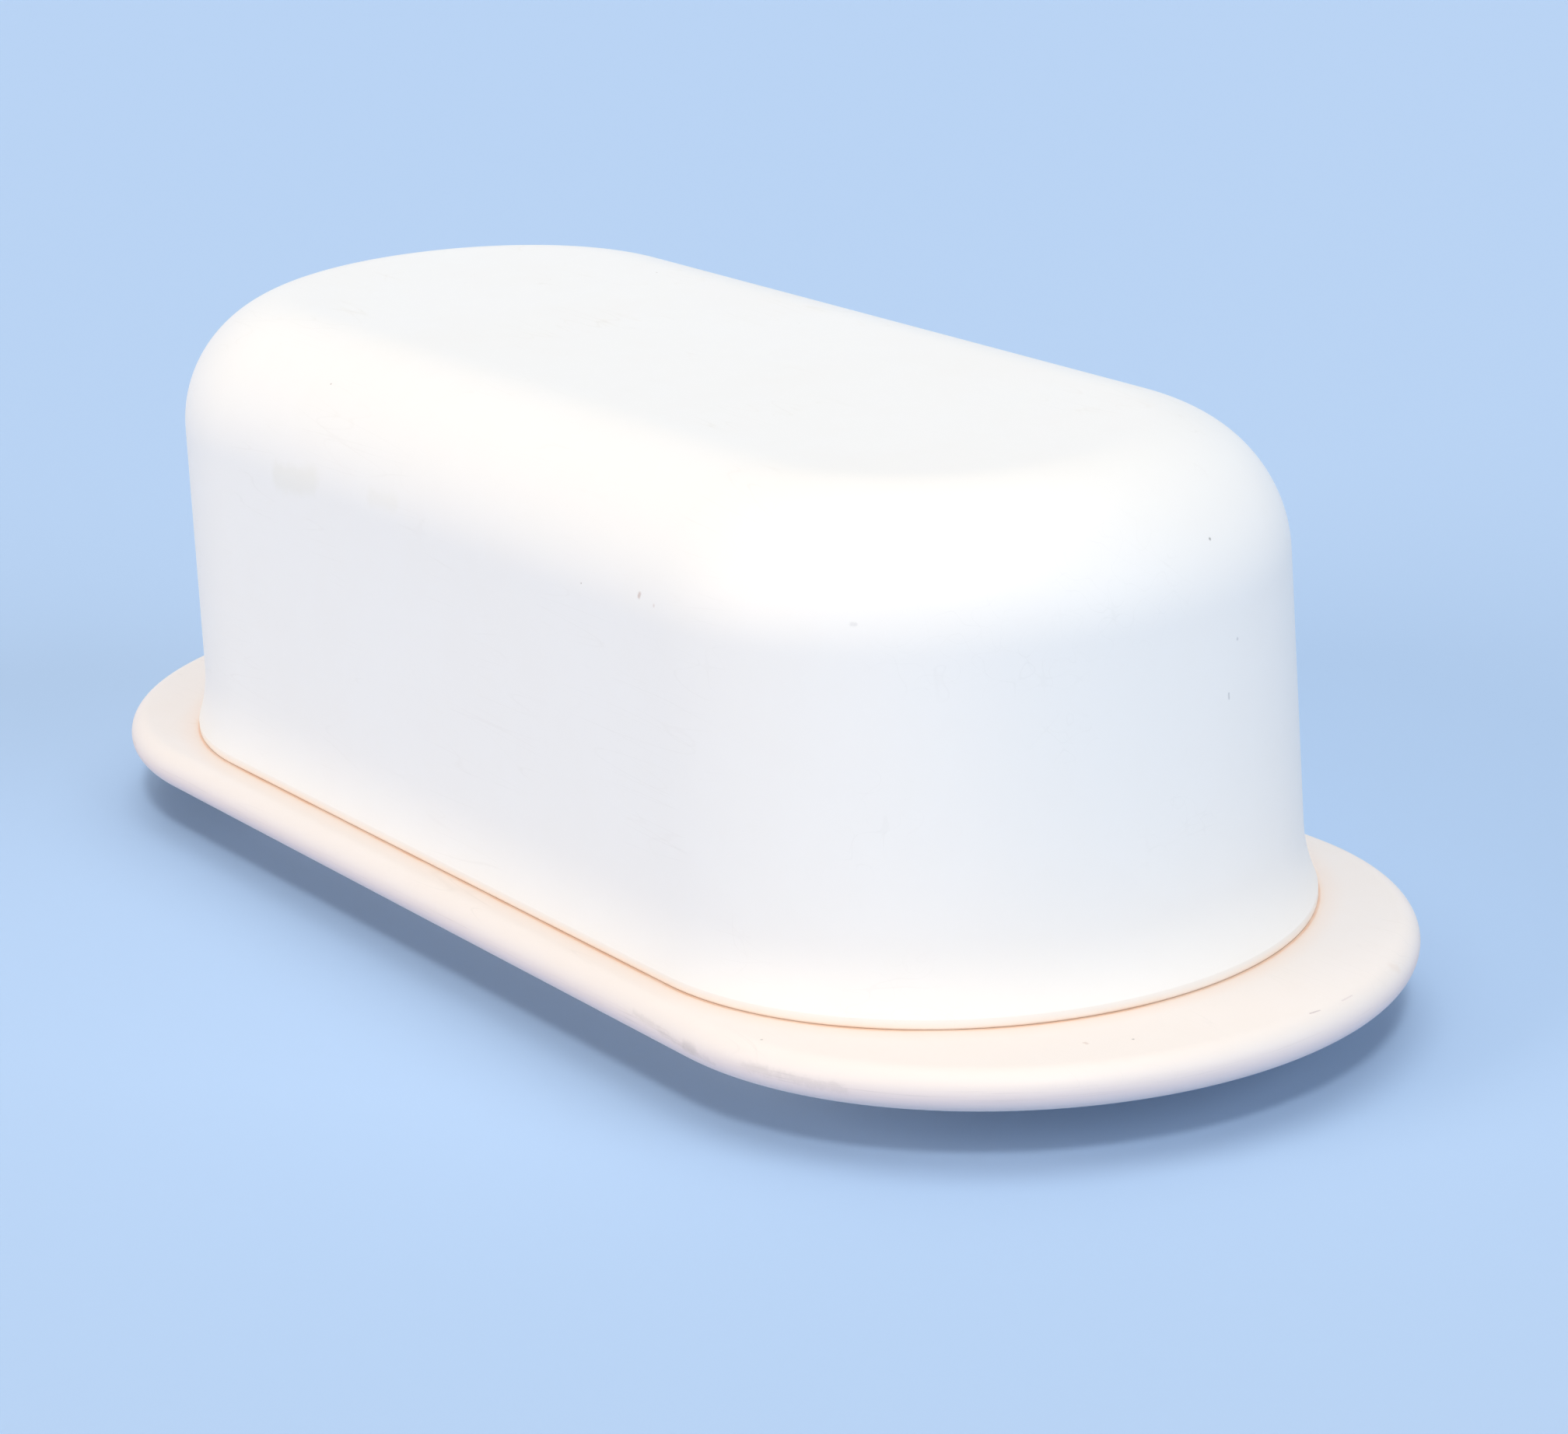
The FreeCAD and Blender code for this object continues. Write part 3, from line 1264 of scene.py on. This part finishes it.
@dataclass(frozen=True)
class Backdrop:
    """A pale floor that fades into a world of the same colour.

    Args:
        colour: the colour of both.
        radius: the floor's radius, in metres.
        fade: the distances between which it fades, in metres.
        edges: sides of the floor's outline.
        horizon: how much brighter the world looks than its colour, to meet the lit floor.
        daylight: colour of the light that comes from all round.
        strength: how strong that light is.
    """

    colour: Colour = (0.44, 0.60, 0.84)
    radius: float = 4.0
    fade: tuple[float, float] = (1.3, 3.2)
    edges: int = 96
    horizon: float = 1.13
    daylight: Colour = (1.0, 1.0, 1.0)
    strength: float = 0.2

    def build(self) -> bpy.types.Object:
        """Lays the floor and sets the world.

        Returns:
            The floor.
        """
        made = bmesh.new()
        bmesh.ops.create_circle(made, cap_ends=True, segments=self.edges, radius=self.radius)
        mesh = bpy.data.meshes.new("floor")
        made.to_mesh(mesh)
        made.free()
        floor = bpy.data.objects.new("floor", mesh)
        bpy.context.scene.collection.objects.link(floor)
        mesh.materials.append(self.paper())
        floor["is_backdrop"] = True
        self.light_world()
        log.info("floor: %.1f m across", 2 * self.radius)
        return floor

    def paper(self) -> bpy.types.Material:
        """Mixes the floor's plain matt finish, which clears away towards its edge.

        Returns:
            The material.
        """
        recipe = Recipe.named("plain_floor")
        spot = recipe.node("ShaderNodeTexCoord", output="Object")
        away = recipe.vector("LENGTH", spot, output="Value").rise(*self.fade)
        matt = {"Base Color": (*self.colour, 1.0), "Roughness": 0.85, "Specular IOR Level": 0.2}
        paper = recipe.node("ShaderNodeBsdfPrincipled", {}, matt)
        clear = recipe.node("ShaderNodeBsdfTransparent")
        surface = recipe.node("ShaderNodeMixShader", {}, {0: away, 1: paper, 2: clear})
        recipe.node("ShaderNodeOutputMaterial", {}, {"Surface": surface})
        return recipe.owner

    def light_world(self) -> None:
        """Shows the backdrop's colour to the eye and in reflections, and lights all else evenly."""
        world = bpy.data.worlds.new("soft_surround")
        bpy.context.scene.world = world
        recipe = Recipe(world)
        camera, glossy, through = (recipe.node("ShaderNodeLightPath", output=f"Is {kind} Ray")
                                   for kind in ("Camera", "Glossy", "Transmission"))
        seen = camera.at_least(glossy).at_least(through)
        evenly = {"Color": (*self.daylight, 1.0), "Strength": self.strength}
        as_seen = {"Color": (*self.colour, 1.0), "Strength": self.horizon}
        light = recipe.node("ShaderNodeBackground", {}, evenly)
        view = recipe.node("ShaderNodeBackground", {}, as_seen)
        blend = recipe.node("ShaderNodeMixShader", {}, {0: seen, 1: light, 2: view})
        recipe.node("ShaderNodeOutputWorld", {}, {"Surface": blend})


def looking_from(azimuth: float, elevation: float) -> Vector:
    """The direction from the dish to someone who looks at it.

    Args:
        azimuth: degrees round from the side that faces -Y, towards +X.
        elevation: degrees above the horizon.

    Returns:
        A unit vector.
    """
    turn, rise = math.radians(azimuth), math.radians(elevation)
    return Vector((math.sin(turn) * math.cos(rise), -math.cos(turn) * math.cos(rise), math.sin(rise)))


@dataclass(frozen=True)
class Lamp:
    """A distant lamp that shines on the dish.

    Args:
        name: the lamp's name.
        azimuth: where it stands, in degrees round from -Y towards +X.
        elevation: degrees above the horizon.
        strength: its strength, in watts per square metre.
        spread: how wide it looks from the dish, in degrees.
        colour: its colour.
    """

    name: str
    azimuth: float
    elevation: float
    strength: float
    spread: float
    colour: Colour = (1.0, 1.0, 1.0)

    def hang(self) -> bpy.types.Object:
        """Puts the lamp up.

        Returns:
            The lamp.
        """
        light = bpy.data.lights.new(self.name, "SUN")
        light.energy = self.strength
        light.angle = math.radians(self.spread)
        light.color = self.colour
        lamp = bpy.data.objects.new(self.name, light)
        back = looking_from(self.azimuth, self.elevation)
        lamp.rotation_euler = (-back).to_track_quat("-Z", "Y").to_euler()
        lamp.location = back
        bpy.context.scene.collection.objects.link(lamp)
        log.info("%s: %.2f at azimuth %.0f, elevation %.0f", self.name, self.strength, self.azimuth,
                 self.elevation)
        return lamp


LAMPS = (
    Lamp("key", azimuth=60, elevation=47, strength=0.97, spread=8, colour=(1.0, 0.99, 0.97)),
    Lamp("overhead", azimuth=60, elevation=85, strength=1.14, spread=50, colour=(0.97, 1.0, 1.0)),
    Lamp("side_fill", azimuth=-14, elevation=16, strength=1.56, spread=40, colour=(1.0, 0.85, 0.73)),
    Lamp("end_fill", azimuth=108, elevation=22, strength=1.0, spread=40, colour=(0.97, 0.97, 1.0)),
    Lamp("back_fill", azimuth=232, elevation=34, strength=0.3, spread=70),
)


@dataclass(frozen=True)
class Viewpoint:
    """Where the dish is seen from.

    Args:
        azimuth: degrees round from the side that faces -Y, towards +X.
        elevation: degrees above the horizon.
        roll: how far the view leans, in degrees.
        distance: how far off it is, in millimetres.
        aim: the point in the middle of the view, in millimetres.
        lens: focal length, in millimetres.
        sensor: width of the sensor, in millimetres.
    """

    azimuth: float = 57.745
    elevation: float = 17.433
    roll: float = -3.469
    distance: float = 528.2
    aim: Spot = (3.914, 7.326, 19.781)
    lens: float = 105.436
    sensor: float = 36.0

    def build(self) -> bpy.types.Object:
        """Makes the camera and looks through it.

        Returns:
            The camera.
        """
        back = looking_from(self.azimuth, self.elevation)
        right = Vector((0, 0, 1)).cross(back).normalized()
        turn = Matrix((right, back.cross(right), back)).transposed()
        lean = Matrix.Rotation(math.radians(self.roll), 3, "Z")
        optics = bpy.data.cameras.new("camera")
        optics.lens = self.lens
        optics.sensor_width = self.sensor
        camera = bpy.data.objects.new("camera", optics)
        spot = (Vector(self.aim) + back * self.distance) * MM
        camera.matrix_world = Matrix.Translation(spot) @ (turn @ lean).to_4x4()
        bpy.context.scene.collection.objects.link(camera)
        bpy.context.scene.camera = camera
        return camera


def main() -> None:
    """Builds the dish and the studio round it, and works out how large the result is."""
    logging.basicConfig(level=logging.INFO, format="%(message)s")
    bpy.context.scene.view_settings.view_transform = "Standard"
    cover = Cover.from_frame()
    tray = Tray.from_frame(cover)
    tray.make("tray_dish")
    cover.make("cover_shell")
    Backdrop().build()
    for lamp in LAMPS:
        lamp.hang()
    Viewpoint().build()
    boxes = {"cad": cad_box, "visual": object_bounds()}
    {name: [list(corner) for corner in box] for name, box in boxes.items()}


if __name__ == "__main__":
    main()
